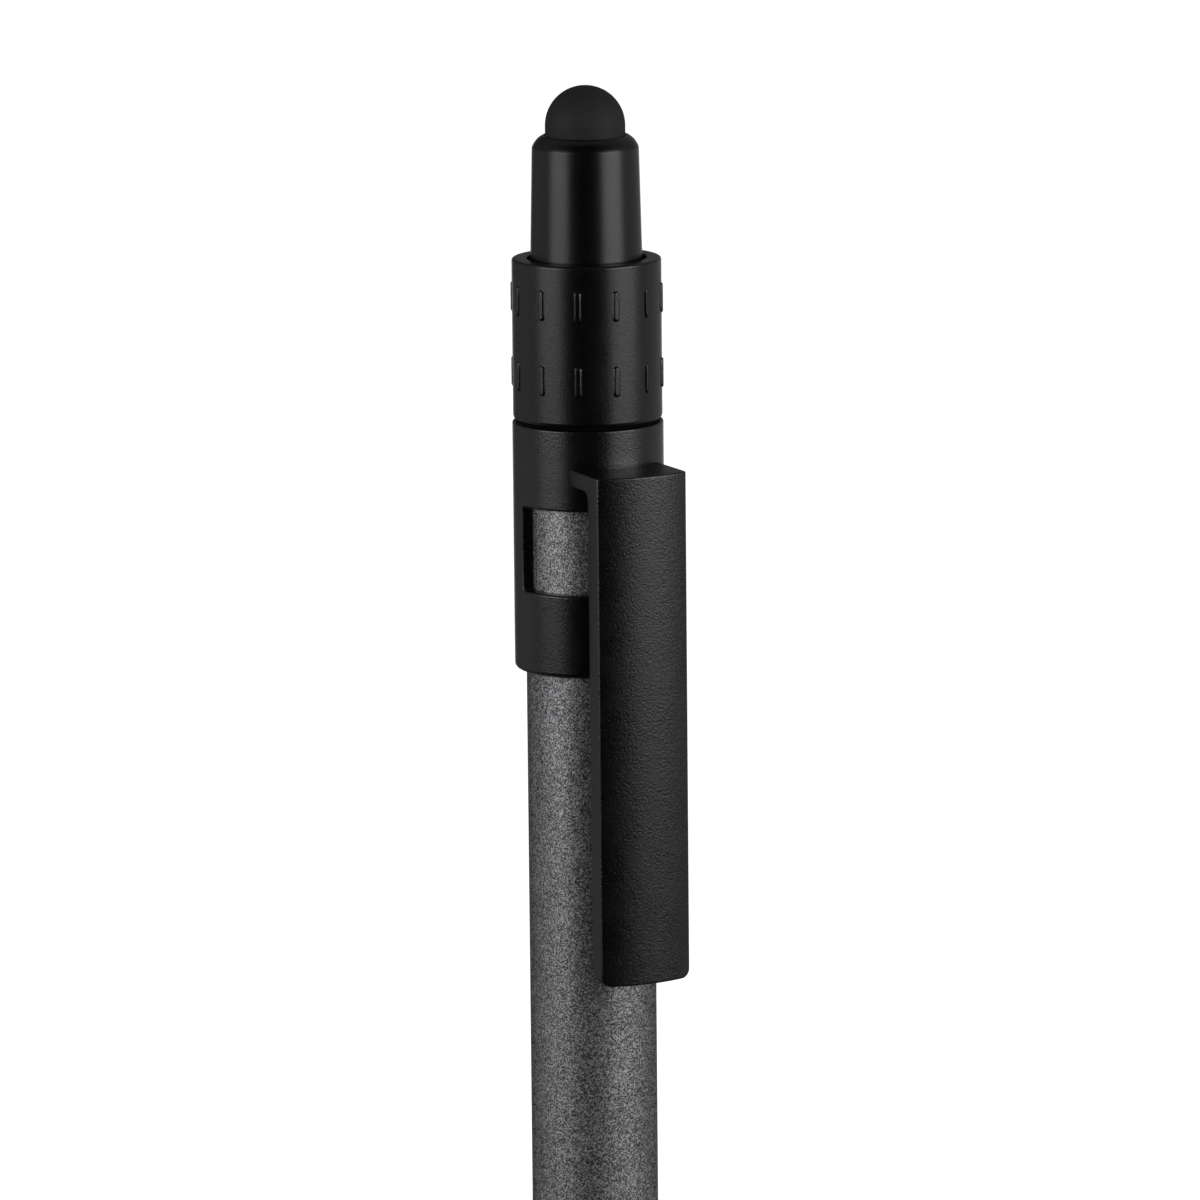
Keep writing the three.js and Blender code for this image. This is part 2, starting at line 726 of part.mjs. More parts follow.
// Turned writing point: lip round the ball, taper, neck, flange for the spring and shank in the tube
function refillPoint() {
  const socketRadius = ballRadius + ballPlay;
  const lipRadius = Math.sqrt(ballRadius ** 2 - (ballRadius - ballProtrusion) ** 2) + ballLipPlay;
  const lipAngle = -Math.asin((ballRadius - ballProtrusion - ballLipHeight) / socketRadius) / degrees;
  const channelAngle = Math.acos(inkChannelRadius / socketRadius) / degrees;
  const shankRadius = refillBore - pressClearance;
  const tipRadius = socketRadius + pointLipWall;
  const flangeTop = pointNeckTop + pointFlangeHeight;
  return revolve([
    [lipRadius, ballProtrusion],
    [tipRadius, ballProtrusion],
    [pointNeckRadius, ballProtrusion + pointTaperLength],
    [pointNeckRadius, pointNeckTop],
    [refillRadius, pointNeckTop],
    [refillRadius, flangeTop],
    [shankRadius, flangeTop],
    [shankRadius, flangeTop + pointShankLength],
    [inkChannelRadius, flangeTop + pointShankLength],
    ...arc(0, ballRadius, socketRadius, channelAngle, lipAngle, 5),
  ], refillFacets);
}

function refillBall() {
  const ball = new THREE.SphereGeometry(ballRadius, 16, 10);
  ball.rotateX(Math.PI / 2);
  ball.translate(0, 0, ballRadius);
  return ball;
}

// Point on the spring's centre line, the share of its length being from 0 at the foot to 1
function springCentre(share) {
  const rise = pointNeckTop - springFoot - springWire - 2 * seatClearance;
  const angle = 2 * Math.PI * springTurns * share;
  return new THREE.Vector3(
    springRadius * Math.cos(angle),
    springRadius * Math.sin(angle),
    springFoot + seatClearance + springWire / 2 + rise * share,
  );
}

// Coil spring between the nose cone's inner shoulder and the writing point's flange
function returnSpring() {
  const steps = Math.round(springTurns * springStepsPerTurn);
  const nudge = 1e-4;
  const rings = [];
  for (let i = 0; i <= steps; i += 1) {
    const share = i / steps;
    const centre = springCentre(share);
    const along = springCentre(share + nudge).sub(springCentre(share - nudge)).normalize();
    const outward = new THREE.Vector3(centre.x, centre.y, 0).normalize();
    const across = outward.clone().cross(along);
    const ring = [];
    for (let side = 0; side < springSides; side += 1) {
      const turn = (2 * Math.PI * side) / springSides;
      ring.push(centre.clone()
        .addScaledVector(across, (springWire / 2) * Math.cos(turn))
        .addScaledVector(outward, (springWire / 2) * Math.sin(turn)));
    }
    rings.push(ring);
  }
  return loft(rings);
}

// Least clear gap between one turn of the spring and the next, measured on its centre line
function springLeastGap() {
  const samples = 400;
  const oneTurn = samples / springTurns;
  let least = Infinity;
  for (let i = 0; i <= samples; i += 1) {
    for (let j = i + Math.ceil(oneTurn / 2); j <= samples; j += 1) {
      const distance = springCentre(i / samples).distanceTo(springCentre(j / samples));
      least = Math.min(least, distance - springWire);
    }
  }
  return least;
}

// Internally threaded bush in the barrel's lower end
function noseInsert() {
  return tube(insertBore, insertRadius, barrelFoot, barrelFoot + insertLength, innerFacets);
}

// Screwed-on nose cone: bulging taper, mouth for the point, spring chamber and spigot
function noseCone() {
  const mouthTop = new THREE.Vector2(noseMouthRadius, pointReach + noseMouthRounding);
  const bulge = new THREE.Vector2(noseMouthRadius + noseBulge, pointReach + noseBulgeHeight);
  const shoulder = new THREE.Vector2(barrelRadius, noseTop);
  const flank = new THREE.QuadraticBezierCurve(mouthTop, bulge, shoulder);
  return revolve([
    [nosePointBore, pointReach],
    [noseMouthRadius - noseMouthRounding, pointReach],
    ...flank.getPoints(noseOutlineSteps).map((point) => [point.x, point.y]),
    [noseSpigotRadius, noseTop],
    [noseSpigotRadius, noseTop + noseSpigotLength],
    [noseBore, noseTop + noseSpigotLength],
    [noseBore, springChamberTop],
    [springChamberRadius, springChamberTop],
    [springChamberRadius, springFoot],
    [nosePointBore, springFoot],
  ], outerFacets);
}

const pen = new THREE.Group();
pen.position.set(0, axisSetback, 0);

function addPiece(name, geometry, material) {
  const mesh = new THREE.Mesh(geometry, material);
  mesh.name = name;
  pen.add(mesh);
}

addPiece('stylus_tip', stylusTip(), blackRubber);
addPiece('tip_plug', tipPlug(), paleMoulding);
addPiece('stylus_collar', stylusCollar(), blackCollar);
addPiece('twist_ring', twistRing(), blackMoulding);
addPiece('knob_core', knobCore(), blackMoulding);
addPiece('friction_oring', frictionRing(), blackRubber);
addPiece('slip_washer', slipWasher(), blackMoulding);
addPiece('clip_sleeve', clipSleeve(), blackMoulding);
addPiece('barrel', barrel(), greyMetallic);
addPiece('cam_housing', camHousing(), paleMoulding);
addPiece('housing_retainer', housingRetainer(), steel);
addPiece('cam_rotor', camRotor(), paleMoulding);
addPiece('cam_slider', camSlider(), paleMoulding);
addPiece('cam_pin', camPin(), steel);
addPiece('refill_plug', refillPlug(), refillBlue);
addPiece('refill_tube', refillTube(), steel);
addPiece('refill_point', refillPoint(), brass);
addPiece('refill_ball', refillBall(), steel);
addPiece('return_spring', returnSpring(), steel);
addPiece('nose_insert', noseInsert(), brass);
addPiece('nose_cone', noseCone(), blackMoulding);

console.log(`return spring: least gap between turns ${springLeastGap().toFixed(3)} mm`);

export default pen;
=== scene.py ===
import math

import bmesh
import bpy
from mathutils import Matrix, Vector


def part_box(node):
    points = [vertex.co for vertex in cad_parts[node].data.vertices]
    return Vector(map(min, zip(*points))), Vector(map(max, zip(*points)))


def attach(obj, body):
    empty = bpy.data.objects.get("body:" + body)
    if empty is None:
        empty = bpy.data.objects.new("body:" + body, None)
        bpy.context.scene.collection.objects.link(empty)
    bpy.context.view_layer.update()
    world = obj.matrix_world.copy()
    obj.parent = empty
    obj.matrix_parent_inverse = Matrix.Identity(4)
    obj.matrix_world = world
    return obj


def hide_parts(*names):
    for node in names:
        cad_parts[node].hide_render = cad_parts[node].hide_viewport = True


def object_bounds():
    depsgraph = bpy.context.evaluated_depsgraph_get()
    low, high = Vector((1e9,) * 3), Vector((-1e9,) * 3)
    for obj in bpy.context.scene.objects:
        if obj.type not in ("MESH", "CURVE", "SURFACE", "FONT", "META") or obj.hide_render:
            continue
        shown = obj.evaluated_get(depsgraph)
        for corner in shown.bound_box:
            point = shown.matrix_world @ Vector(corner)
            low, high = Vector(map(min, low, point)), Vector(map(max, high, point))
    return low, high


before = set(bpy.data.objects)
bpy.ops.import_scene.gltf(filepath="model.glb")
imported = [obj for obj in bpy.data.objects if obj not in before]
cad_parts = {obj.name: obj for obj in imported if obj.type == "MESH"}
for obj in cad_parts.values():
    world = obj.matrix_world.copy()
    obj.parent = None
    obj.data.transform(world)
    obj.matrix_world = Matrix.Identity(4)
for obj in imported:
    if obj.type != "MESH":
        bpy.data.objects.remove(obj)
cad_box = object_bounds()


# Stylus tip. A dome of conductive rubber, moulded hollow, with a skirt and a flange that the collar's
# lip traps. The rubber is matte and nearly black, and handling leaves it a little uneven.

tip_radius = 3.5
tip_wall = 0.85
tip_centre = 143.35
tip_flange_radius = 3.85
tip_flange_foot = 138.9
tip_flange_top = 139.9
rubber_black = (0.0075, 0.0075, 0.0077, 1.0)
rubber_dusty = (0.0113, 0.0112, 0.0110, 1.0)
barrel_low, barrel_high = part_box("barrel")
axis_setback = 500 * (barrel_low.y + barrel_high.y)


def row_point(x, y, z):
    """A point given in millimetres from the pen's axis, in the row's frame."""
    return Vector((x, y + axis_setback, z)) / 1000


def arc(centre_radius, centre_height, radius, start, end, steps):
    """Points of a rounding, as (radius, height) pairs, angles in degrees."""
    turns = [math.radians(start + (end - start) * i / steps) for i in range(steps + 1)]
    return [
        (centre_radius + radius * math.cos(turn), centre_height + radius * math.sin(turn))
        for turn in turns
    ]


def bend(start, corner, end, steps):
    """Points along a smooth bend from start to end that leans on a corner."""
    start, corner, end = Vector(start), Vector(corner), Vector(end)
    points = []
    for step in range(steps + 1):
        share = step / steps
        points.append(start * (1 - share) ** 2 + corner * 2 * share * (1 - share) + end * share ** 2)
    return [tuple(point) for point in points]


def rounded(corners, steps=5):
    """An outline whose corners are (radius, height, rounding). A rounding of 0 stays sharp."""
    outline = []
    for i, (radius, height, rounding) in enumerate(corners):
        here = Vector((radius, height))
        if rounding == 0:
            outline.append(tuple(here))
            continue
        before = Vector(corners[i - 1][:2]) - here
        after = Vector(corners[(i + 1) % len(corners)][:2]) - here
        reach = rounding / math.tan(before.angle(after) / 2)
        start = here + before.normalized() * reach
        end = here + after.normalized() * reach
        outline += bend(start, here, end, steps)
    return outline


def finish_mesh(name, points, faces, sharp_angle=32):
    """A smooth-shaded object from points in millimetres round the pen's axis."""
    mesh = bpy.data.meshes.new(name)
    mesh.from_pydata([row_point(*point) for point in points], [], faces)
    mesh.validate()
    mesh.shade_smooth()
    mesh.set_sharp_from_angle(angle=math.radians(sharp_angle))
    piece = bpy.data.objects.new(name, mesh)
    bpy.context.scene.collection.objects.link(piece)
    return piece


def held(outline, margin=0.03):
    """Adds a point close to both ends of each long straight, so that its shading stays even."""
    points = []
    for i, start in enumerate(outline):
        points.append(start)
        end = outline[(i + 1) % len(outline)]
        length = math.dist(start, end)
        if length > 8 * margin and start[0] + end[0] > 1e-6:
            for share in (margin / length, 1 - margin / length):
                points.append(tuple(a + (b - a) * share for a, b in zip(start, end)))
    return points


def turned(name, outline, facets=192, sharp_angle=32):
    """A turned piece from an outline that runs anticlockwise as (radius, height)."""
    points = []
    rings = []
    for radius, height in held(outline):
        if radius < 1e-6:
            rings.append([len(points)] * facets)
            points.append((0, 0, height))
            continue
        rings.append(list(range(len(points), len(points) + facets)))
        for i in range(facets):
            turn = 2 * math.pi * i / facets
            points.append((radius * math.cos(turn), radius * math.sin(turn), height))
    faces = []
    for lower, upper in zip(rings, rings[1:] + rings[:1]):
        for i in range(facets):
            j = (i + 1) % facets
            corners = [lower[i], lower[j], upper[j], upper[i]]
            face = [corner for k, corner in enumerate(corners) if corner != corners[k - 1]]
            if len(face) > 2:
                faces.append(face)
    return finish_mesh(name, points, faces, sharp_angle)


class Signal:
    """A shader socket that takes part in plain sums. Each sum adds its Math node."""

    def __init__(self, socket):
        self.socket = socket

    @classmethod
    def add(cls, tree, kind, settings, inputs, output=0):
        """Adds a node, gives it its settings first, then the values or links of its sockets."""
        node = tree.nodes.new(kind)
        for name, value in settings.items():
            setattr(node, name, value)
        for name, value in inputs.items():
            if isinstance(value, Signal):
                tree.links.new(value.socket, node.inputs[name])
            else:
                node.inputs[name].default_value = value
        return cls(node.outputs[output]) if len(node.outputs) else None

    def join(self, operation, first, second):
        return Signal.add(
            self.socket.id_data, "ShaderNodeMath", {"operation": operation}, {0: first, 1: second}
        )

    def __add__(self, other):
        return self.join("ADD", self, other)

    __radd__ = __add__

    def __sub__(self, other):
        return self.join("SUBTRACT", self, other)

    def __rsub__(self, other):
        return self.join("SUBTRACT", other, self)

    def __mul__(self, other):
        return self.join("MULTIPLY", self, other)

    __rmul__ = __mul__


def blank_material(name):
    """A material with no nodes yet, and its node tree."""
    material = bpy.data.materials.new(name)
    material.use_nodes = True
    material.node_tree.nodes.clear()
    return material, material.node_tree


def object_place(tree):
    """The place on the piece, in metres, which goes with the piece as it moves."""
    return Signal.add(tree, "ShaderNodeTexCoord", {}, {}, "Object")


def noise(tree, place, grain, detail=2.0, roughness=0.5, distortion=0.0):
    """Soft noise whose patches are about that many millimetres across."""
    return Signal.add(
        tree,
        "ShaderNodeTexNoise",
        {"noise_dimensions": "3D"},
        {
            "Vector": place,
            "Scale": 1000 / grain,
            "Detail": detail,
            "Roughness": roughness,
            "Distortion": distortion,
        },
        "Fac",
    )


def between(tree, share, first, second):
    """A colour between two, by a share from 0 to 1."""
    return Signal.add(
        tree,
        "ShaderNodeMix",
        {"data_type": "RGBA"},
        {"Factor": share, "A": first, "B": second},
        "Result",
    )


def span(tree, value, low, high):
    """Spreads the part of a value from low to high over 0 to 1, and clips the rest."""
    return Signal.add(
        tree,
        "ShaderNodeMapRange",
        {"clamp": True},
        {"Value": value, "From Min": low, "From Max": high},
        "Result",
    )


def bump(tree, height, depth):
    """A fine relief, whose height from 0 to 1 stands for that many millimetres."""
    return Signal.add(
        tree,
        "ShaderNodeBump",
        {},
        {"Distance": depth / 1000, "Height": height},
        "Normal",
    )


def surface(tree, **sockets):
    """Closes the material with one Principled shader."""
    names = {name.replace("_", " "): value for name, value in sockets.items()}
    shader = Signal.add(tree, "ShaderNodeBsdfPrincipled", {}, names, "BSDF")
    Signal.add(tree, "ShaderNodeOutputMaterial", {}, {"Surface": shader})


def stylus_rubber():
    material, tree = blank_material("stylus_rubber")
    place = object_place(tree)
    dust = span(tree, noise(tree, place, 1.6, 4.0, 0.6), 0.42, 0.70)
    pores = noise(tree, place, 0.13, 3.0, 0.6)
    surface(
        tree,
        Base_Color=between(tree, dust * 0.6, rubber_black, rubber_dusty),
        Roughness=0.68 + dust * 0.10,
        Specular_IOR_Level=0.28,
        Normal=bump(tree, pores, 0.010),
    )
    return material


tip = turned(
    "rubber_dome",
    arc(0, tip_centre, tip_radius - tip_wall, 90, 0, 16)
    + [
        (tip_radius - tip_wall, tip_flange_foot),
        (tip_flange_radius, tip_flange_foot),
        (tip_flange_radius, tip_flange_top),
        (tip_radius, tip_flange_top),
    ]
    + arc(0, tip_centre, tip_radius, 0, 90, 40),
)
tip.data.materials.append(stylus_rubber())
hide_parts("stylus_tip")
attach(tip, "knob")


# Collar. A turned black tube that carries the stylus tip, with a rounded shoulder and a crisp edge
# under it. It is smoother than the mouldings round it, so its reflections have the sharpest edges.

collar_top_radius = 4.66
collar_foot_radius = 5.0
collar_bore = 3.95
collar_mouth = 3.58
collar_land = 0.2
collar_foot = 126.85
collar_rim = 142.5
collar_lip_foot = 140.0
collar_shoulder = 1.9
collar_shoulder_tilt = 20
collar_crease = 0.16
collar_black = (0.0002, 0.0002, 0.0003, 1.0)
collar_worn = (0.0012, 0.0012, 0.0013, 1.0)


def collar_lacquer():
    material, tree = blank_material("collar_black")
    place = object_place(tree)
    haze = span(tree, noise(tree, place, 2.4, 3.0, 0.55), 0.45, 0.75)
    grain = noise(tree, place, 0.09, 2.0, 0.5)
    surface(
        tree,
        Base_Color=between(tree, haze * 0.5, collar_black, collar_worn),
        Roughness=0.28 + haze * 0.03 + grain * 0.03,
        Specular_IOR_Level=0.38,
        Normal=bump(tree, grain, 0.0016),
    )
    return material


shoulder_tilt = math.radians(collar_shoulder_tilt)
shoulder_centre = collar_top_radius - collar_shoulder * math.cos(shoulder_tilt)
rim_tilt = math.acos((collar_mouth + collar_land - shoulder_centre) / collar_shoulder)
shoulder_level = collar_rim - collar_shoulder * math.sin(rim_tilt)
crease_level = shoulder_level + collar_shoulder * math.sin(shoulder_tilt)
crease_inset = collar_crease * math.cos(shoulder_tilt)
crease_drop = collar_crease * math.sin(shoulder_tilt)
collar = turned(
    "collar",
    [
        (collar_bore, collar_foot),
        (collar_foot_radius, collar_foot),
    ]
    + arc(
        collar_top_radius - crease_inset,
        crease_level - crease_drop,
        collar_crease,
        1,
        collar_shoulder_tilt,
        3,
    )
    + arc(
        shoulder_centre,
        shoulder_level,
        collar_shoulder,
        collar_shoulder_tilt,
        math.degrees(rim_tilt),
        14,
    )[1:]
    + [
        (collar_mouth, collar_rim),
        (collar_mouth, collar_lip_foot),
        (collar_bore, collar_lip_foot),
    ],
    sharp_angle=24,
)
collar.data.materials.append(collar_lacquer())
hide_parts("stylus_collar")
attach(collar, "knob")


# Twist ring. A matte black moulding that the fingers turn, with two rows of twelve raised pill-shaped
# ribs for grip. The ribs are moulded on and stand 0.15 mm proud, with soft tops and tight feet.

ring_radius = 6.54
ring_foot = 117.77
ring_top = 131.8
ring_lower_bore = 5.66
ring_upper_bore = 5.25
ring_web_foot = 125.25
ring_web_top = 126.75
ring_web_bore = 3.95
ring_top_rounding = 0.22
ring_foot_taper_height = 0.25
ring_foot_taper_depth = 0.07
ribs_per_row = 12
rib_rows = (128.3, 121.7)
rib_length = 2.7
rib_width = 0.66
rib_height = 0.15
rib_turn = -3.2
rib_edge = 0.17
clip_facing = -90
moulding_black = (0.0002, 0.0002, 0.0002, 1.0)
moulding_grey = (0.0018, 0.0018, 0.0019, 1.0)


def outside(tree, place, start, full):
    """Rises from 0 to 1 between two distances from the pen's axis, in millimetres."""
    level = Signal.add(
        tree, "ShaderNodeVectorMath", {"operation": "MULTIPLY"}, {0: place, 1: (1.0, 1.0, 0.0)}, "Vector"
    )
    distance = Signal.add(
        tree,
        "ShaderNodeVectorMath",
        {"operation": "DISTANCE"},
        {0: level, 1: (0.0, axis_setback / 1000, 0.0)},
        "Value",
    )
    return span(tree, distance, start / 1000, full / 1000)


def black_moulding(name, sheen, shine, texture_depth, texture_grain, face=None):
    """Black plastic from a finely etched mould, with a faint handling haze. Face gives the distances
    from the axis between which the etching deepens, and the share that it gains."""
    material, tree = blank_material(name)
    place = object_place(tree)
    etch = noise(tree, place, texture_grain, 3.0, 0.62)
    relief = etch
    if face is not None:
        start, full, gain = face
        relief = etch * (1 + outside(tree, place, start, full) * gain)
    haze = span(tree, noise(tree, place, 3.1, 4.0, 0.6), 0.42, 0.74)
    flecks = span(tree, noise(tree, place, texture_grain * 0.8, 1.0, 0.5), 0.60, 0.78)
    surface(
        tree,
        Base_Color=between(tree, haze * 0.35 + flecks * 0.45, moulding_black, moulding_grey),
        Roughness=sheen + haze * 0.05 + etch * 0.04,
        Specular_IOR_Level=shine,
        Normal=bump(tree, relief, texture_depth),
    )
    return material


def rib_profile(inside):
    """Height of a rib at a distance inside its outline, as a share of its full height."""
    if inside <= 0:
        return 0.0
    share = min(inside / rib_edge, 1.0)
    return math.sin(share * math.pi / 2)


def ring_height_at(across, above):
    """How far the ring's surface stands out, at a place measured from the nearest rib's middle."""
    spine = (rib_length - rib_width) / 2
    beyond = max(abs(above) - spine, 0.0)
    return rib_height * rib_profile(rib_width / 2 - math.hypot(across, beyond))


def ring_surface():
    """The ring's outside as rows from foot to top, each a list of columns."""
    half_pitch = math.pi * ring_radius / ribs_per_row
    edge = rib_width / 2
    inner = [0.0, 0.09, 0.15, 0.19, 0.225, 0.255, 0.28, 0.30, 0.315, 0.325, edge, 0.337]
    outer = [0.37, 0.44, 0.6, 0.9, 1.3]
    offsets = [offset for offset in inner + outer if offset < half_pitch]
    offsets = [-offset for offset in reversed(offsets[1:])] + offsets
    columns = []
    for rib in range(ribs_per_row):
        middle = math.radians(clip_facing + rib_turn + 360 * rib / ribs_per_row)
        for across in offsets:
            columns.append((middle + across / ring_radius, across))
        columns.append((middle + half_pitch / ring_radius, half_pitch))
    spine = (rib_length - rib_width) / 2
    ups = [0.0, spine * 0.5] + [spine + offset for offset in inner] + [spine + 0.4]
    ups = [-up for up in reversed(ups[1:])] + ups
    taper_top = ring_foot + ring_foot_taper_height
    heights = [taper_top, taper_top + 0.03, ring_foot + 1.2]
    for row in sorted(rib_rows):
        heights += [row + up for up in ups]
    heights += [ring_top - 1.3, ring_top - ring_top_rounding - 0.03, ring_top - ring_top_rounding]
    rows = []
    for height in heights:
        nearest = min(rib_rows, key=lambda row: abs(row - height))
        rows.append([
            (ring_radius + ring_height_at(across, height - nearest), turn, height)
            for turn, across in columns
        ])
    return columns, rows


columns, ring_rows = ring_surface()
closing = rounded([
    (ring_radius - ring_top_rounding, ring_top, 0),
    (ring_upper_bore, ring_top, 0.12),
    (ring_upper_bore, ring_web_top, 0),
    (ring_web_bore, ring_web_top, 0),
    (ring_web_bore, ring_web_foot, 0),
    (ring_lower_bore, ring_web_foot, 0),
    (ring_lower_bore, ring_foot, 0),
    (ring_radius - ring_foot_taper_depth, ring_foot, 0.02),
    (ring_radius, ring_foot + ring_foot_taper_height, 0),
])[1:-1]
flat_radius = ring_radius - ring_top_rounding
top_edge = arc(flat_radius, ring_top - ring_top_rounding, ring_top_rounding, 0, 90, 8)[1:]
for radius, height in top_edge + closing:
    ring_rows.append([(radius, turn, height) for turn, across in columns])
ring_points = [
    (radius * math.cos(turn), radius * math.sin(turn), height)
    for row in ring_rows
    for radius, turn, height in row
]
ring_faces = []
for i in range(len(ring_rows)):
    k = (i + 1) % len(ring_rows)
    for j in range(len(columns)):
        n = (j + 1) % len(columns)
        ring_faces.append([
            i * len(columns) + j,
            i * len(columns) + n,
            k * len(columns) + n,
            k * len(columns) + j,
        ])
ring = finish_mesh("grip_ring", ring_points, ring_faces, 50)
ring.data.materials.append(black_moulding("ring_moulding", 0.26, 0.42, 0.011, 0.18))
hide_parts("twist_ring")
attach(ring, "knob")


# Clip sleeve. One black moulding: a sleeve pressed over the barrel's top end, a window that shows the
# barrel, a bridge, and a wide clip bent round the pen's axis, with a pad inside its lower end.

sleeve_radius = 6.62
sleeve_bore = 5.67
sleeve_foot = 95.54
sleeve_top = 117.42
sleeve_lip_foot = 116.2
sleeve_lip_bore = 4.7
sleeve_foot_rounding = 0.45
window_foot = 102.87
window_top = 110.3
window_half_angle = 87
window_corner = 0.35
window_rounding = 0.22
clip_reach = 11.35
clip_width = 8.65
clip_top = 114.05
clip_foot = 69.05
clip_bridge = 1.45
clip_root = 2.75
clip_end = 2.63
clip_edge = 0.2
clip_corner = 0.9
clip_inner_fillet = 0.95
clip_end_rounding = 0.9
clip_arris = 0.12
clip_face_start = 10.9
clip_face_full = 11.25
clip_face_gain = 0.7
pad_width = 3.2
pad_length = 6.5
pad_above_end = 1.6
pad_crest = 5.9
pad_bevel = 0.15
pad_root = 0.8


def quarter(share):
    """How far an edge of radius 1 has dropped, at a share of its radius in from the side."""
    share = min(max(share, 0.0), 1.0)
    return 1 - math.sqrt(1 - (1 - share) ** 2)


def clip_section(across):
    """The clip's outline at a place across it, as (stand-off from the axis, height) pairs."""
    half = clip_width / 2
    from_side = half - abs(across)
    arris = clip_arris * quarter(from_side / clip_arris)
    front = math.sqrt(clip_reach ** 2 - across ** 2) - clip_edge * quarter(from_side / clip_edge)
    top = clip_top - arris
    foot = clip_foot + clip_corner * quarter(from_side / clip_corner)
    root_inner = clip_reach - clip_root + arris
    end_inner = clip_reach - clip_end + arris
    under = clip_top - clip_bridge + arris
    rooted = math.sqrt(((sleeve_bore + sleeve_radius) / 2) ** 2 - across ** 2)
    lower = foot + clip_edge
    outline = [(rooted, top), (rooted, under)]
    before = (root_inner - clip_inner_fillet, under)
    outline += bend(before, (root_inner, under), (root_inner, under - clip_inner_fillet), 10)
    before = (end_inner, foot + clip_end_rounding)
    outline += bend(before, (end_inner, foot), (end_inner + clip_end_rounding, foot), 10)
    outline += bend((front - clip_edge, foot), (front, foot), (front, lower), 6)
    steps = 24
    for step in range(1, steps):
        outline.append((front, lower + (top - clip_edge - lower) * step / steps))
    outline += bend((front, top - clip_edge), (front, top), (front - clip_edge, top), 6)
    return outline


def clip_columns():
    """Places across the clip at which its outline is taken, closest together at its edges."""
    half = clip_width / 2
    near = [0.0, 0.012, 0.03, 0.06, 0.1, 0.15, 0.2, 0.26, 0.32, 0.42, 0.55, 0.7, 0.9]
    far = [1.15, 1.5, 1.9, 2.4, 3.0, 3.6]
    left = [-half + inset for inset in near + far]
    return left + [0.0] + [-across for across in reversed(left)]


def outward(piece):
    """Turns a closed piece's faces to point out."""
    solid = bmesh.new()
    solid.from_mesh(piece.data)
    bmesh.ops.recalc_face_normals(solid, faces=solid.faces)
    solid.to_mesh(piece.data)
    solid.free()
    return piece


def lofted(name, across_all, sections):
    """A closed piece through outlines that stand side by side across the clip."""
    count = len(sections[0])
    points = []
    for across, section in zip(across_all, sections):
        points += [(across, -stand_off, height) for stand_off, height in section]
    faces = []
    for i in range(len(sections) - 1):
        for j in range(count):
            k = (j + 1) % count
            faces.append([i * count + j, i * count + k, (i + 1) * count + k, (i + 1) * count + j])
    faces.append(list(reversed(range(count))))
    last = (len(sections) - 1) * count
    faces.append([last + j for j in range(count)])
    return outward(finish_mesh(name, points, faces))


def clip_arm():
    across_all = clip_columns()
    return lofted("clip_arm", across_all, [clip_section(across) for across in across_all])


def clip_pad():
    """A lens-shaped swelling inside the clip's lower end."""
    foot = clip_foot + pad_above_end
    inner = clip_reach - clip_end
    root = inner + pad_root
    crest = (2 * pad_crest - inner, foot + pad_length / 2)
    middle = bend((inner, foot), crest, (inner, foot + pad_length), 24)
    middle += [(root, foot + pad_length), (root, foot)]
    side = [(min(stand_off + pad_bevel, root), height) for stand_off, height in middle]
    half = pad_width / 2
    places = [-half, pad_bevel - half, half - pad_bevel, half]
    return lofted("clip_pad", places, [side, middle, middle, side])


def combine(piece, other, operation):
    """Joins or cuts a piece with another, which is then gone."""
    change = piece.modifiers.new("combine", "BOOLEAN")
    change.operation = operation
    change.solver = "EXACT"
    change.object = other
    graph = bpy.context.evaluated_depsgraph_get()
    made = bpy.data.meshes.new_from_object(piece.evaluated_get(graph))
    piece.modifiers.clear()
    old = piece.data
    piece.data = made
    bpy.data.meshes.remove(old)
    bpy.data.objects.remove(other)
    return piece


def window_outline(grow):
    """The window unrolled, as (distance round the sleeve, height), widened on every side."""
    half_arc = math.radians(window_half_angle) * sleeve_radius
    corner = window_corner + grow
    inset = window_corner
    outline = []
    for centre_x, centre_z, start in (
        (half_arc - inset, window_top - inset, 0),
        (-half_arc + inset, window_top - inset, 90),
        (-half_arc + inset, window_foot + inset, 180),
        (half_arc - inset, window_foot + inset, 270),
    ):
        outline += arc(centre_x, centre_z, corner, start, start + 90, 8)
    dense = []
    for i, (x, z) in enumerate(outline):
        dense.append((x, z))
        following = outline[(i + 1) % len(outline)]
        if abs(following[0] - x) > window_top - window_foot:
            for step in range(1, 96):
                dense.append((x + (following[0] - x) * step / 96, z))
    return dense


def window_wedge():
    """The block that cuts the window and rounds its outer edge."""
    bend_radius = sleeve_radius - window_rounding
    layers = [(sleeve_lip_bore, 0.0), (bend_radius, 0.0)]
    for step in range(1, 6):
        turn = math.radians(18 * step)
        layers.append((
            bend_radius + window_rounding * math.sin(turn),
            window_rounding * (1 - math.cos(turn)),
        ))
    layers.append((sleeve_radius + 1, window_rounding))
    points = []
    for radius, grow in layers:
        for x, z in window_outline(grow):
            turn = math.radians(clip_facing) + x / sleeve_radius
            points.append((radius * math.cos(turn), radius * math.sin(turn), z))
    outline = window_outline(0)
    count = len(outline)
    faces = []
    for layer in range(len(layers) - 1):
        first = layer * count
        for j in range(count):
            k = (j + 1) % count
            faces.append([first + j, first + k, first + count + k, first + count + j])
    middle = (window_foot + window_top) / 2
    lower = {round(x, 5): j for j, (x, z) in enumerate(outline) if z < middle}
    upper = {round(x, 5): j for j, (x, z) in enumerate(outline) if z >= middle}
    shared = sorted(set(lower) & set(upper))
    last = (len(layers) - 1) * count
    for a, b in zip(shared, shared[1:]):
        faces.append([lower[a], upper[a], upper[b], lower[b]])
        faces.append([last + lower[a], last + lower[b], last + upper[b], last + upper[a]])
    return outward(finish_mesh("window_wedge", points, faces))


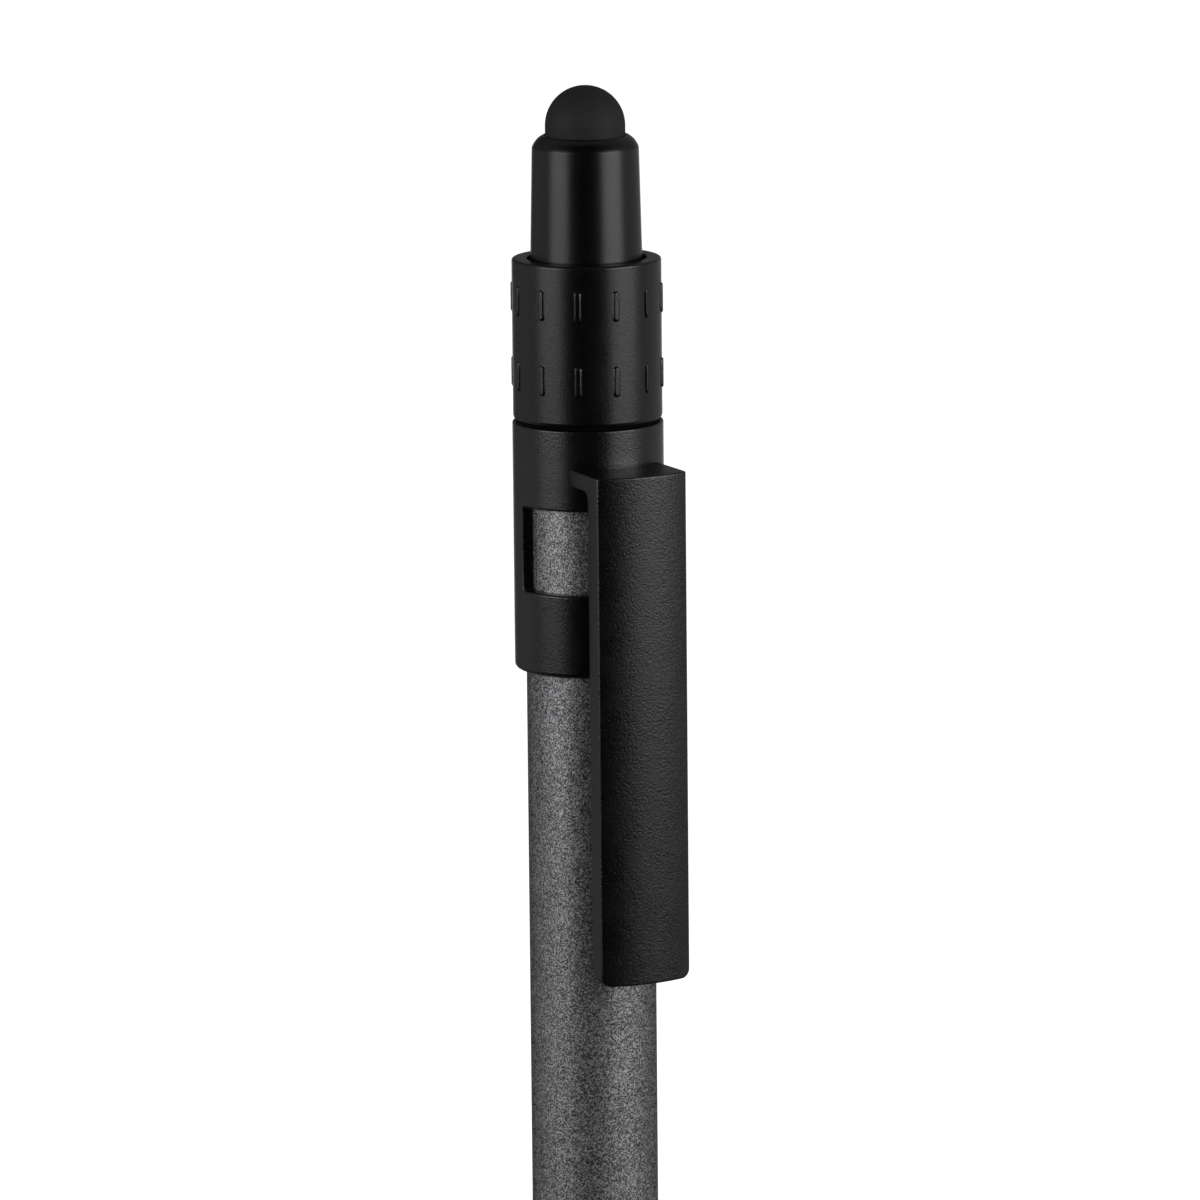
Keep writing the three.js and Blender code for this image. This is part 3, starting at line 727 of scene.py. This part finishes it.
def truly_round(piece, *radii):
    """Shades what lies on these radii as true cylinders round the pen's axis."""
    mesh = piece.data
    normals = []
    for corner, loop in zip(mesh.corner_normals, mesh.loops):
        place = mesh.vertices[loop.vertex_index].co * 1000
        outwards = Vector((place.x, place.y - axis_setback, 0))
        normal = Vector(corner.vector)
        lean = normal.dot(outwards.normalized())
        if abs(lean) > 0.94 and min(abs(outwards.length - radius) for radius in radii) < 0.0035:
            normal = math.copysign(1, lean) * outwards.normalized()
        normals.append(normal)
    mesh.normals_split_custom_set(normals)


sleeve = turned(
    "clip_and_sleeve",
    [(sleeve_bore, sleeve_foot)]
    + arc(
        sleeve_radius - sleeve_foot_rounding,
        sleeve_foot + sleeve_foot_rounding,
        sleeve_foot_rounding,
        -90,
        0,
        12,
    )
    + rounded([
        (sleeve_radius, sleeve_foot + sleeve_foot_rounding, 0),
        (sleeve_radius, sleeve_top, 0.15),
        (sleeve_lip_bore, sleeve_top, 0),
        (sleeve_lip_bore, sleeve_lip_foot, 0),
        (sleeve_bore, sleeve_lip_foot, 0),
        (sleeve_bore, sleeve_foot, 0),
    ])[1:-1],
)
sleeve = combine(sleeve, window_wedge(), "DIFFERENCE")
sleeve = combine(sleeve, clip_arm(), "UNION")
sleeve = combine(sleeve, clip_pad(), "UNION")
sleeve.data.shade_smooth()
sleeve.data.set_sharp_from_angle(angle=math.radians(32))
truly_round(sleeve, sleeve_radius, sleeve_bore, clip_reach)
sleeve.data.materials.clear()
clip_face = (clip_face_start, clip_face_full, clip_face_gain)
sleeve.data.materials.append(black_moulding("clip_moulding", 0.25, 0.49, 0.0187, 0.20, clip_face))
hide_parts("clip_sleeve")
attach(sleeve, "casing")


# Barrel. A drawn tube with a fine metallic paint, whose flakes sparkle one by one at reading distance.
# Its top end is under the sleeve and shows in the sleeve's window.

barrel_radius = 5.6
barrel_bore = 4.9
barrel_foot = 24.7
barrel_top = 115.3
flake_size = 0.096
paint_dark = (0.043, 0.044, 0.046, 1.0)
paint_light = (0.505, 0.509, 0.522, 1.0)


def metallic_paint():
    material, tree = blank_material("barrel_paint")
    place = object_place(tree)
    flake = Signal.add(
        tree,
        "ShaderNodeTexVoronoi",
        {"voronoi_dimensions": "3D", "feature": "F1"},
        {"Vector": place, "Scale": 1000 / flake_size, "Randomness": 1.0},
        "Color",
    )
    lit = Signal.add(
        tree, "ShaderNodeSeparateColor", {"mode": "RGB"}, {"Color": flake}, "Red"
    )
    clouds = span(tree, noise(tree, place, 2.2, 3.0, 0.55), 0.3, 0.7)
    sparkle = span(tree, lit * lit * 0.94 + clouds * 0.06, 0.0, 1.0)
    surface(
        tree,
        Base_Color=between(tree, sparkle, paint_dark, paint_light),
        Metallic=0.88,
        Roughness=0.38 + lit * 0.10,
        Specular_Tint=(0.2, 0.2, 0.2, 1.0),
        Normal=bump(tree, lit, 0.006),
    )
    return material


barrel = turned(
    "painted_barrel",
    rounded([
        (barrel_bore, barrel_foot, 0),
        (barrel_radius, barrel_foot, 0.12),
        (barrel_radius, barrel_top, 0.12),
        (barrel_bore, barrel_top, 0),
    ]),
)
barrel.data.materials.append(metallic_paint())
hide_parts("barrel")
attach(barrel, "casing")


# Nose cone. A black moulding that screws into the barrel's lower end and lets the writing point out.
# It has the sleeve's matte finish, and a fine parting line where it meets the barrel.

nose_foot = 2.6
nose_top = 24.6
nose_mouth = 2.0
nose_mouth_bore = 1.25
nose_bulge = 4.3
nose_bulge_height = 8.0
nose_mouth_bore_top = 7.0
nose_bore = 3.2
nose_bore_foot = 12.0
nose_spigot_radius = 4.2
nose_spigot_top = 31.2
nose_mouth_rounding = 0.3


def nose_side():
    """The cone's swelling side, from just above its mouth to the barrel."""
    start = (nose_mouth, nose_foot + nose_mouth_rounding)
    return bend(start, (nose_bulge, nose_bulge_height), (barrel_radius, nose_top), 40)


nose = turned(
    "nose_shell",
    [(nose_mouth_bore, nose_foot)]
    + arc(
        nose_mouth - nose_mouth_rounding,
        nose_foot + nose_mouth_rounding,
        nose_mouth_rounding,
        -90,
        -20,
        6,
    )
    + nose_side()
    + [
        (nose_spigot_radius, nose_top),
        (nose_spigot_radius, nose_spigot_top),
        (nose_bore, nose_spigot_top),
        (nose_bore, nose_bore_foot),
        (nose_mouth_bore, nose_mouth_bore_top),
    ],
)
nose.data.materials.append(black_moulding("nose_moulding", 0.28, 0.48, 0.0030, 0.10))
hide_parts("nose_cone")
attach(nose, "casing")


# Writing point, and the threaded insert that the nose cone screws into. Both are turned from brass,
# and fine tool marks run round them.

brass_light = (0.50, 0.33, 0.115, 1.0)
brass_dark = (0.36, 0.22, 0.075, 1.0)


def turned_metal(name, dark, light, roughness):
    """Metal from a lathe, with fine rings round the axis and a little tarnish."""
    material, tree = blank_material(name)
    place = object_place(tree)
    rings = Signal.add(
        tree,
        "ShaderNodeTexWave",
        {"wave_type": "BANDS", "bands_direction": "Z", "wave_profile": "SIN"},
        {"Vector": place, "Scale": 5200.0, "Distortion": 1.2, "Detail": 2.0, "Detail Scale": 1.5},
        "Fac",
    )
    tarnish = span(tree, noise(tree, place, 0.9, 4.0, 0.6), 0.35, 0.7)
    surface(
        tree,
        Base_Color=between(tree, tarnish, dark, light),
        Metallic=1.0,
        Roughness=roughness + tarnish * 0.08,
        Normal=bump(tree, rings, 0.0015),
    )
    return material


def finish_solids(material, *names):
    """Gives the frame's own solids their material."""
    for name in names:
        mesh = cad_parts[name].data
        mesh.materials.clear()
        mesh.materials.append(material)


finish_solids(turned_metal("point_brass", brass_dark, brass_light, 0.24), "refill_point", "nose_insert")


# Steel pieces: ball, refill tube, cam pin, the housing's retaining ring and return spring. They are
# drawn or ground bright, and none is painted.

steel_light = (0.60, 0.61, 0.62, 1.0)
steel_dark = (0.42, 0.425, 0.43, 1.0)
finish_solids(
    turned_metal("bright_steel", steel_dark, steel_light, 0.20),
    "refill_ball",
    "refill_tube",
    "cam_pin",
    "housing_retainer",
    "return_spring",
)


# Pale mouldings of the mechanism: tip plug, cam housing, rotor and slider, in natural plastic that
# slides well. The mould leaves them with a soft waxy look.

pale_plastic = (0.70, 0.69, 0.64, 1.0)
pale_shade = (0.60, 0.59, 0.54, 1.0)


def waxy_moulding(name, light, shade, roughness):
    material, tree = blank_material(name)
    place = object_place(tree)
    flow = span(tree, noise(tree, place, 2.8, 3.0, 0.5, 0.6), 0.35, 0.7)
    skin = noise(tree, place, 0.22, 2.0, 0.5)
    surface(
        tree,
        Base_Color=between(tree, flow, light, shade),
        Roughness=roughness + flow * 0.08,
        Normal=bump(tree, skin, 0.003),
    )
    return material


finish_solids(
    waxy_moulding("pale_moulding", pale_plastic, pale_shade, 0.38),
    "tip_plug",
    "cam_housing",
    "cam_rotor",
    "cam_slider",
)


# Refill plug. Moulded plastic pressed into the top of the tube, in the blue of the ink that it closes
# in. The cam's slider pushes on it.

plug_blue = (0.016, 0.045, 0.20, 1.0)
plug_blue_shade = (0.011, 0.032, 0.145, 1.0)
finish_solids(waxy_moulding("refill_blue", plug_blue, plug_blue_shade, 0.3), "refill_plug")


# Core of the knob. It is moulded in the same black plastic as the ring, and holds the ring and the
# collar together above the mechanism.

finish_solids(ring.data.materials[0], "knob_core")


# Slip washer, punched from dry black fibre sheet. Its edge lies in the parting line between the sleeve
# and the ring, and shows there as a line with hardly any light in it.

fibre_black = (0.0002, 0.0002, 0.0002, 1.0)
fibre_fluff = (0.0010, 0.0010, 0.0010, 1.0)


def fibre_sheet():
    material, tree = blank_material("fibre_sheet")
    place = object_place(tree)
    strands = noise(tree, place, 0.12, 4.0, 0.7)
    surface(
        tree,
        Base_Color=between(tree, span(tree, strands, 0.5, 0.8), fibre_black, fibre_fluff),
        Roughness=0.80 + strands * 0.15,
        Specular_IOR_Level=0.08,
        Normal=bump(tree, strands, 0.006),
    )
    return material


finish_solids(fibre_sheet(), "slip_washer")


# Friction ring. A moulded black rubber ring in the core's groove, which drags on the housing's neck
# and keeps the knob where it is turned to.

seal_black = (0.010, 0.010, 0.010, 1.0)
seal_bloom = (0.019, 0.019, 0.019, 1.0)


def seal_rubber():
    material, tree = blank_material("seal_rubber")
    place = object_place(tree)
    bloom = span(tree, noise(tree, place, 0.7, 3.0, 0.6), 0.4, 0.7)
    surface(
        tree,
        Base_Color=between(tree, bloom, seal_black, seal_bloom),
        Roughness=0.55 + bloom * 0.15,
        Normal=bump(tree, noise(tree, place, 0.1, 2.0, 0.5), 0.004),
    )
    return material


finish_solids(seal_rubber(), "friction_oring")


# Table top. A plain white sheet that the pen stands on, seen as far as the picture reaches. It keeps
# the pen's shadow.

table_half = 4.0
table_white = (0.80, 0.80, 0.80, 1.0)
table_glow = 0.75


def table_sheet():
    material, tree = blank_material("table_white")
    place = object_place(tree)
    tooth = noise(tree, place, 1.5, 3.0, 0.5)
    paper = Signal.add(
        tree,
        "ShaderNodeBsdfDiffuse",
        {},
        {"Color": table_white, "Normal": bump(tree, tooth, 0.01)},
        "BSDF",
    )
    path = Signal.add(tree, "ShaderNodeLightPath", {}, {}, "Is Camera Ray")
    gloss = Signal.add(tree, "ShaderNodeLightPath", {}, {}, "Is Glossy Ray")
    through = Signal.add(tree, "ShaderNodeLightPath", {}, {}, "Is Transmission Ray")
    seen = span(tree, path + gloss + through, 0.0, 1.0)
    glow = Signal.add(
        tree,
        "ShaderNodeEmission",
        {},
        {"Color": (1.0, 1.0, 1.0, 1.0), "Strength": seen * table_glow},
        "Emission",
    )
    both = Signal.add(tree, "ShaderNodeAddShader", {}, {0: paper, 1: glow}, "Shader")
    Signal.add(tree, "ShaderNodeOutputMaterial", {}, {"Surface": both})
    return material


table_mesh = bpy.data.meshes.new("table_top")
table_mesh.from_pydata(
    [(x * table_half, y * table_half, 0) for x, y in ((-1, -1), (1, -1), (1, 1), (-1, 1))],
    [],
    [(0, 1, 2, 3)],
)
table = bpy.data.objects.new("table_top", table_mesh)
bpy.context.scene.collection.objects.link(table)
table_mesh.materials.append(table_sheet())
table.location.z = cad_box[0].z
table.visible_shadow = False
table.visible_glossy = False


# Camera, where the photograph was taken from: a long lens, a little above the pen and to its left.
# It is rolled by half a degree, and its shift sets the pen beside the frame's middle.

camera_azimuth = -26.018
camera_elevation = 10.574
camera_roll = -0.554
camera_distance = 0.6968
camera_target = Vector((0.0, axis_setback / 1000, 0.101367))
camera_lens = 237.84
camera_shift = 0.00864

azimuth = math.radians(camera_azimuth)
elevation = math.radians(camera_elevation)
back = Vector((
    math.sin(azimuth) * math.cos(elevation),
    -math.cos(azimuth) * math.cos(elevation),
    math.sin(elevation),
))
level_right = Vector((0, 0, 1)).cross(back).normalized()
level_up = back.cross(level_right)
roll = math.radians(camera_roll)
right = math.cos(roll) * level_right + math.sin(roll) * level_up
up = math.cos(roll) * level_up - math.sin(roll) * level_right
camera_data = bpy.data.cameras.new("camera")
camera_data.lens = camera_lens
camera_data.sensor_width = 36
camera_data.shift_x = camera_shift
camera_data.clip_start = 0.01
camera = bpy.data.objects.new("camera", camera_data)
turn = Matrix((right, up, back)).transposed().to_4x4()
camera.matrix_world = Matrix.Translation(camera_target + back * camera_distance) @ turn
bpy.context.scene.collection.objects.link(camera)
bpy.context.scene.camera = camera


# Studio. A tall soft light on each side of the camera, both reaching higher than the pen. The room is
# dark behind the camera, pale at the sides, dimmer towards the floor and the ceiling, and white
# behind the pen.

softbox_distance = 0.75
softbox_turn = 58
softbox_left_width = 0.54
softbox_right_width = 0.60
softbox_low = 0.03
softbox_high = 0.56
softbox_left_glow = 3.7
softbox_right_glow = 4.5
room_ambient = 0.34
room_front_gloss = 0.004
room_side_gloss = 0.40
room_left_fall = 0.80
room_right_fall = 0.30
room_floor_share = 0.40
room_wall_share = 0.62


def softbox(name, away, width, height, level, glow):
    """A soft light at a side of the pen. Glow is its brightness as the pen sees it."""
    lamp = bpy.data.lights.new(name, "AREA")
    lamp.shape = "RECTANGLE"
    lamp.size = width
    lamp.size_y = height
    lamp.energy = glow * math.pi * lamp.size * lamp.size_y
    holder = bpy.data.objects.new(name, lamp)
    holder.location = Vector((0, axis_setback / 1000, level)) + away * softbox_distance
    holder.rotation_euler = away.to_track_quat("Z", "Y").to_euler()
    holder.visible_camera = False
    bpy.context.scene.collection.objects.link(holder)


for name, side, width, glow in (
    ("softbox_left", -1, softbox_left_width, softbox_left_glow),
    ("softbox_right", 1, softbox_right_width, softbox_right_glow),
):
    heading = azimuth + math.radians(softbox_turn) * side
    away = Vector((math.sin(heading), -math.cos(heading), 0))
    softbox(name, away, width, softbox_high - softbox_low, (softbox_low + softbox_high) / 2, glow)


def fade(tree, value, start, end, to_start, to_end):
    """Eases from one level to another as a value goes from start to end."""
    return Signal.add(
        tree,
        "ShaderNodeMapRange",
        {"clamp": True, "interpolation_type": "SMOOTHSTEP"},
        {"Value": value, "From Min": start, "From Max": end, "To Min": to_start, "To Max": to_end},
        "Result",
    )


def studio_room():
    world = bpy.data.worlds.new("studio")
    world.use_nodes = True
    tree = world.node_tree
    tree.nodes.clear()
    direction = Signal.add(tree, "ShaderNodeTexCoord", {}, {}, "Generated")
    facing = Signal.add(
        tree,
        "ShaderNodeVectorMath",
        {"operation": "DOT_PRODUCT"},
        {0: direction, 1: (math.sin(azimuth), -math.cos(azimuth), 0.0)},
        "Value",
    )
    leaning = Signal.add(
        tree,
        "ShaderNodeVectorMath",
        {"operation": "DOT_PRODUCT"},
        {0: direction, 1: (math.cos(azimuth), math.sin(azimuth), 0.0)},
        "Value",
    )
    fall = fade(tree, leaning, -0.2, 0.2, room_left_fall, room_right_fall)
    beside = fade(tree, facing, 0.35, -0.05, room_front_gloss, room_side_gloss)
    beside = beside * (1 - fall * fade(tree, facing, -0.15, -1.0, 0.0, 1.0))
    height = Signal.add(tree, "ShaderNodeSeparateXYZ", {}, {"Vector": direction}, "Z")
    beside = beside * fade(tree, height, -0.27, -0.60, 1.0, room_floor_share)
    beside = beside * fade(tree, height, -0.04, 0.14, 1.0, room_wall_share)
    behind = fade(tree, facing, -0.92, -0.985, 0.0, 1.0) * fade(tree, height, 0.08, -0.06, 0.0, 1.0)
    camera_ray = Signal.add(tree, "ShaderNodeLightPath", {}, {}, "Is Camera Ray")
    glossy_ray = Signal.add(tree, "ShaderNodeLightPath", {}, {}, "Is Glossy Ray")
    passing_ray = Signal.add(tree, "ShaderNodeLightPath", {}, {}, "Is Transmission Ray")
    mirrored = span(tree, glossy_ray + passing_ray, 0.0, 1.0) * (1 - camera_ray)
    soft = (1 - mirrored) * (1 - camera_ray) * room_ambient
    light = camera_ray + mirrored * (beside + behind * (1 - beside)) + soft
    glow = Signal.add(
        tree, "ShaderNodeBackground", {}, {"Color": (1.0, 1.0, 1.0, 1.0), "Strength": light}
    )
    Signal.add(tree, "ShaderNodeOutputWorld", {}, {"Surface": glow})
    return world


bpy.context.scene.world = studio_room()
bpy.context.scene.view_settings.view_transform = "Standard"
